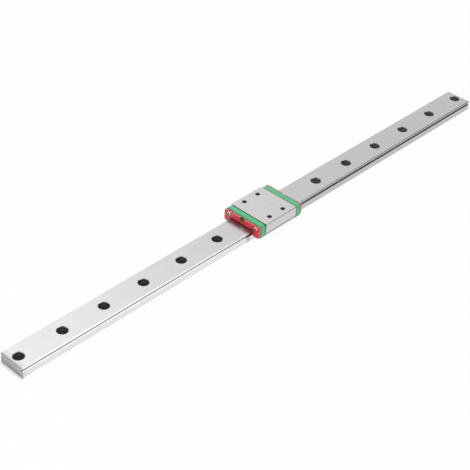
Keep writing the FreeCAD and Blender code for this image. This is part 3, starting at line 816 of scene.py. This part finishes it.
def cross_cutter():
    """The tapered cross that the drive is pressed with, standing at the top of the head."""
    cutter = bmesh.new()
    half_span = SCREW_DRIVE_SPAN / 2
    half_slot = SCREW_DRIVE_SLOT / 2
    bmesh.ops.create_grid(cutter, x_segments=3, y_segments=3, size=half_span)
    for vert in cutter.verts:
        for axis in (0, 1):
            if abs(vert.co[axis]) < half_span - SAME_POINT:
                vert.co[axis] = math.copysign(half_slot, vert.co[axis])
    corners = [f for f in cutter.faces if min(map(abs, f.calc_center_median()[:2])) > half_slot]
    bmesh.ops.delete(cutter, geom=corners, context="FACES")
    raised = bmesh.ops.extrude_face_region(cutter, geom=cutter.faces[:])
    top = [vert for vert in raised["geom"] if isinstance(vert, bmesh.types.BMVert)]
    bmesh.ops.translate(cutter, verts=top, vec=(0, 0, 2 * SCREW_DRIVE_DEPTH))
    for vert in cutter.verts:
        if vert not in top:
            vert.co.x *= SCREW_DRIVE_TAPER
            vert.co.y *= SCREW_DRIVE_TAPER
    lift = SCREW_HEAD_HEIGHT - SCREW_DRIVE_DEPTH
    to_head = Matrix.Translation((lift, 0, 0)) @ Matrix.Rotation(math.pi / 2, 4, "Y")
    bmesh.ops.transform(cutter, matrix=to_head, verts=cutter.verts)
    bmesh.ops.recalc_face_normals(cutter, faces=cutter.faces)
    return cutter


def loose_object(form, name):
    """A bmesh as an object of its own."""
    mesh = bpy.data.meshes.new(name)
    form.to_mesh(mesh)
    form.free()
    holder = bpy.data.objects.new(name, mesh)
    bpy.context.scene.collection.objects.link(holder)
    return holder


def driven_screw():
    """The mesh of a screw with its drive cut into the head."""
    blank = loose_object(domed_screw(), "screw_blank")
    cutter = loose_object(cross_cutter(), "drive_cutter")
    cut = blank.modifiers.new("drive", "BOOLEAN")
    cut.operation = "DIFFERENCE"
    cut.solver = "EXACT"
    cut.object = cutter
    mesh = bpy.data.meshes.new_from_object(blank.evaluated_get(bpy.context.evaluated_depsgraph_get()))
    bpy.data.objects.remove(blank)
    bpy.data.objects.remove(cutter)
    return mesh


SCREW_STEEL = screw_steel()
SCREW_MESH = driven_screw()
for end in ("left", "right"):
    for side, turn in SCREW_DRIVE_TURNS.items():
        node = f"cap_screw_{end}_{side}"
        low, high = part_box(node)
        middle = (low + high) / 2
        seat = high.x - SCREW_HEAD_HEIGHT if end == "right" else low.x + SCREW_HEAD_HEIGHT
        facing = Matrix.Rotation(0 if end == "right" else math.pi, 4, "Z")
        drive_turn = Matrix.Rotation(turn, 4, "X")
        at_seat = Matrix.Translation((seat, middle.y, middle.z)) @ facing @ drive_turn
        screw = bmesh.new()
        screw.from_mesh(SCREW_MESH)
        bmesh.ops.transform(screw, matrix=at_seat, verts=screw.verts)
        name = f"domed_screw_{end}_{side}"
        place_piece(screw, name, "carriage", "screw_steel", SCREW_STEEL, node)

# The studio: a pale seamless floor, one large soft lamp from behind on the left, and a bright room,
# brightest past the left end, with a dark corner at the front on the right. The camera stands where
# the picture was taken.
WHITE = (1, 1, 1, 1)
FLOOR_HALF = 4.0
FLOOR_DROP = 0.05 * MM
FLOOR_COLOUR = (0.90, 0.90, 0.90, 1)
FLOOR_CLOUDS = (3, 3, 3)
FLOOR_WARM_TINT = (1, 0.985, 0.963, 1)
FLOOR_COOL_TINT = (0.977, 0.977, 1, 1)
FLOOR_GLOW = 2.05
FLOOR_FRONT_LOSS = 0.95
FLOOR_GLOW_SHARE = 0.95
FLOOR_MIRRORED_SHARE = 0.6
LAMP_PLACE = Vector((-0.55, 0.35, 0.75))
LAMP_SIZE = 0.7
LAMP_WATTS = 2.2
ROOM_LIGHT = 0.80
WALL_LIGHT = 1.36
FRONT_LIGHT = 1.5
FRONT_BAND_LIGHT = 2.5
FRONT_LOW_LOSS = 1.3
CORNER_LOW_LIGHT = 0.9
PATCH_TOWARD = Vector((-0.42, -0.41, 0.81))
CAMERA_PLACE = Vector((-0.49624, -0.42025, 0.47497))
CAMERA_AZIMUTH = math.radians(-48.013)
CAMERA_ELEVATION = math.radians(36.989)
CAMERA_ROLL = math.radians(3.011)
CAMERA_LENS_MM = 99.26
CAMERA_SENSOR_MM = 36

# Where each look of the floor starts and where it is full, and how strong it is if that isn't 1.
FLOOR_WARM_ALONG = (30 * MM, -80 * MM)
FLOOR_MIDDLE_ALONG = (30 * MM, 20 * MM, 0.25)
FLOOR_LEFT_ALONG = (-10 * MM, -22 * MM, 0.95)
FLOOR_FRONT_ALONG = (20 * MM, 35 * MM)
FLOOR_FRONT_ACROSS = (-14.8 * MM, -19 * MM)
END_SHADOW_OUTER = (-202 * MM, -200.6 * MM)
END_SHADOW_INNER = (-198.5 * MM, -199.8 * MM)
END_SHADOW_OUT = (10.5 * MM, 8.5 * MM, 0.75)

# The same for the room, as parts of a direction of length 1.
BAND_LEFT_END = (0, 0.3)
BAND_RIGHT_END = (0.62, 0.44, 1.12)
WALL_RIGHT_END = (0.74, 0.62, 0.13)
WALL_LEFT_PATCH = (-0.7, -0.85, 3.4)
FRONT_TOWARD = (-0.08, -0.3)
FRONT_UNDER = (0.9, 0.74)
FRONT_LOW = (0.38, 0.28)
CORNER_RIGHT = (0.58, 0.63)
PATCH_WITHIN = (0.9, 0.955, 0.9)


def seen_directly(flow):
    """1 for what the camera sees without a mirror."""
    return flow.node("ShaderNodeLightPath", {}, {}, output="Is Camera Ray")


def seen_in_metal(flow):
    """1 for what shows in a shiny surface."""
    return flow.node("ShaderNodeLightPath", {}, {}, output="Is Glossy Ray")


def floor_paper():
    """White paper that keeps a faint shadow, and dims to the right where metal shows it."""
    material, place = start_material("floor_paper")
    along, across, _ = place.axes()
    direct = seen_directly(place)
    mirrored = seen_in_metal(place)
    clouds = place.noise(FLOOR_CLOUDS)
    white = clouds.mix(FLOOR_COLOUR, shade(FLOOR_COLOUR, 0.99))
    paper = place.node("ShaderNodeBsdfDiffuse", {}, {"Color": white})

    past_front = along.rise(*FLOOR_FRONT_ALONG) * across.rise(*FLOOR_FRONT_ACROSS)
    shown = FLOOR_GLOW + along.rise(*FLOOR_MIDDLE_ALONG) + along.rise(*FLOOR_LEFT_ALONG)
    shown = shown * (1 - FLOOR_FRONT_LOSS * past_front)
    tint = along.rise(*FLOOR_WARM_ALONG).mix(FLOOR_COOL_TINT, FLOOR_WARM_TINT)
    tint = mirrored.mix(WHITE, tint)
    glow = place.node("ShaderNodeEmission", {}, {"Color": tint, "Strength": direct + mirrored * shown})

    by_end = along.rise(*END_SHADOW_OUTER) * along.rise(*END_SHADOW_INNER)
    by_end = by_end * abs(across).rise(*END_SHADOW_OUT)
    share = FLOOR_MIRRORED_SHARE + (1 - FLOOR_MIRRORED_SHARE) * past_front
    share = direct * (FLOOR_GLOW_SHARE - by_end) + mirrored * share
    surface = place.node("ShaderNodeMixShader", {}, {0: share, 1: paper, 2: glow})
    place.node("ShaderNodeOutputMaterial", {}, {"Surface": surface})
    return material


def room_walls(toward):
    """How bright the room is where metal shows it, for each direction."""
    right, back, above = toward.axes()
    band = right.rise(*BAND_LEFT_END)
    wall = WALL_LIGHT + band * right.rise(*BAND_RIGHT_END)
    wall = wall + right.rise(*WALL_RIGHT_END) + right.rise(*WALL_LEFT_PATCH)

    low = above.rise(*FRONT_LOW)
    corner = right.rise(*CORNER_RIGHT)
    front_wall = FRONT_LIGHT + band * (FRONT_BAND_LIGHT - FRONT_LOW_LOSS * low)
    front_wall = front_wall * (1 - corner) + CORNER_LOW_LIGHT * low * corner

    in_front = back.rise(*FRONT_TOWARD) * above.rise(*FRONT_UNDER)
    patch = PATCH_TOWARD.x * right + PATCH_TOWARD.y * back + PATCH_TOWARD.z * above
    patch = patch.rise(*PATCH_WITHIN)
    return (wall * (1 - in_front) + front_wall * in_front) * (1 - patch)


floor_form = bmesh.new()
bmesh.ops.create_grid(floor_form, x_segments=1, y_segments=1, size=FLOOR_HALF)
bmesh.ops.translate(floor_form, verts=floor_form.verts, vec=(0, 0, -FLOOR_DROP))
floor = loose_object(floor_form, "floor")
floor.data.materials.append(floor_paper())

world = bpy.data.worlds.new("room")
world.use_nodes = True
world.node_tree.nodes.clear()
room = Flow(world.node_tree)
toward = room.node("ShaderNodeTexCoord", {}, {}, output="Generated")
direct = seen_directly(room)
mirrored = seen_in_metal(room)
level = direct + mirrored * room_walls(toward) + (1 - direct - mirrored) * ROOM_LIGHT
sky = room.node("ShaderNodeBackground", {}, {"Color": WHITE, "Strength": level})
room.node("ShaderNodeOutputWorld", {}, {"Surface": sky})
bpy.context.scene.world = world

lamp_data = bpy.data.lights.new("soft_lamp", "AREA")
lamp_data.shape = "SQUARE"
lamp_data.size = LAMP_SIZE
lamp_data.energy = LAMP_WATTS
lamp = bpy.data.objects.new("soft_lamp", lamp_data)
lamp.location = LAMP_PLACE
lamp.rotation_euler = (-LAMP_PLACE).to_track_quat("-Z", "Y").to_euler()
lamp.visible_glossy = False
bpy.context.scene.collection.objects.link(lamp)

toward_camera = Vector(
    (
        math.sin(CAMERA_AZIMUTH) * math.cos(CAMERA_ELEVATION),
        -math.cos(CAMERA_AZIMUTH) * math.cos(CAMERA_ELEVATION),
        math.sin(CAMERA_ELEVATION),
    )
)
camera_data = bpy.data.cameras.new("camera")
camera_data.lens = CAMERA_LENS_MM
camera_data.sensor_width = CAMERA_SENSOR_MM
camera = bpy.data.objects.new("camera", camera_data)
camera.location = CAMERA_PLACE
aim = (-toward_camera).to_track_quat("-Z", "Y")
camera.rotation_euler = (aim @ Quaternion((0, 0, 1), CAMERA_ROLL)).to_euler()
bpy.context.scene.collection.objects.link(camera)
bpy.context.scene.camera = camera
bpy.context.scene.view_settings.view_transform = "Standard"
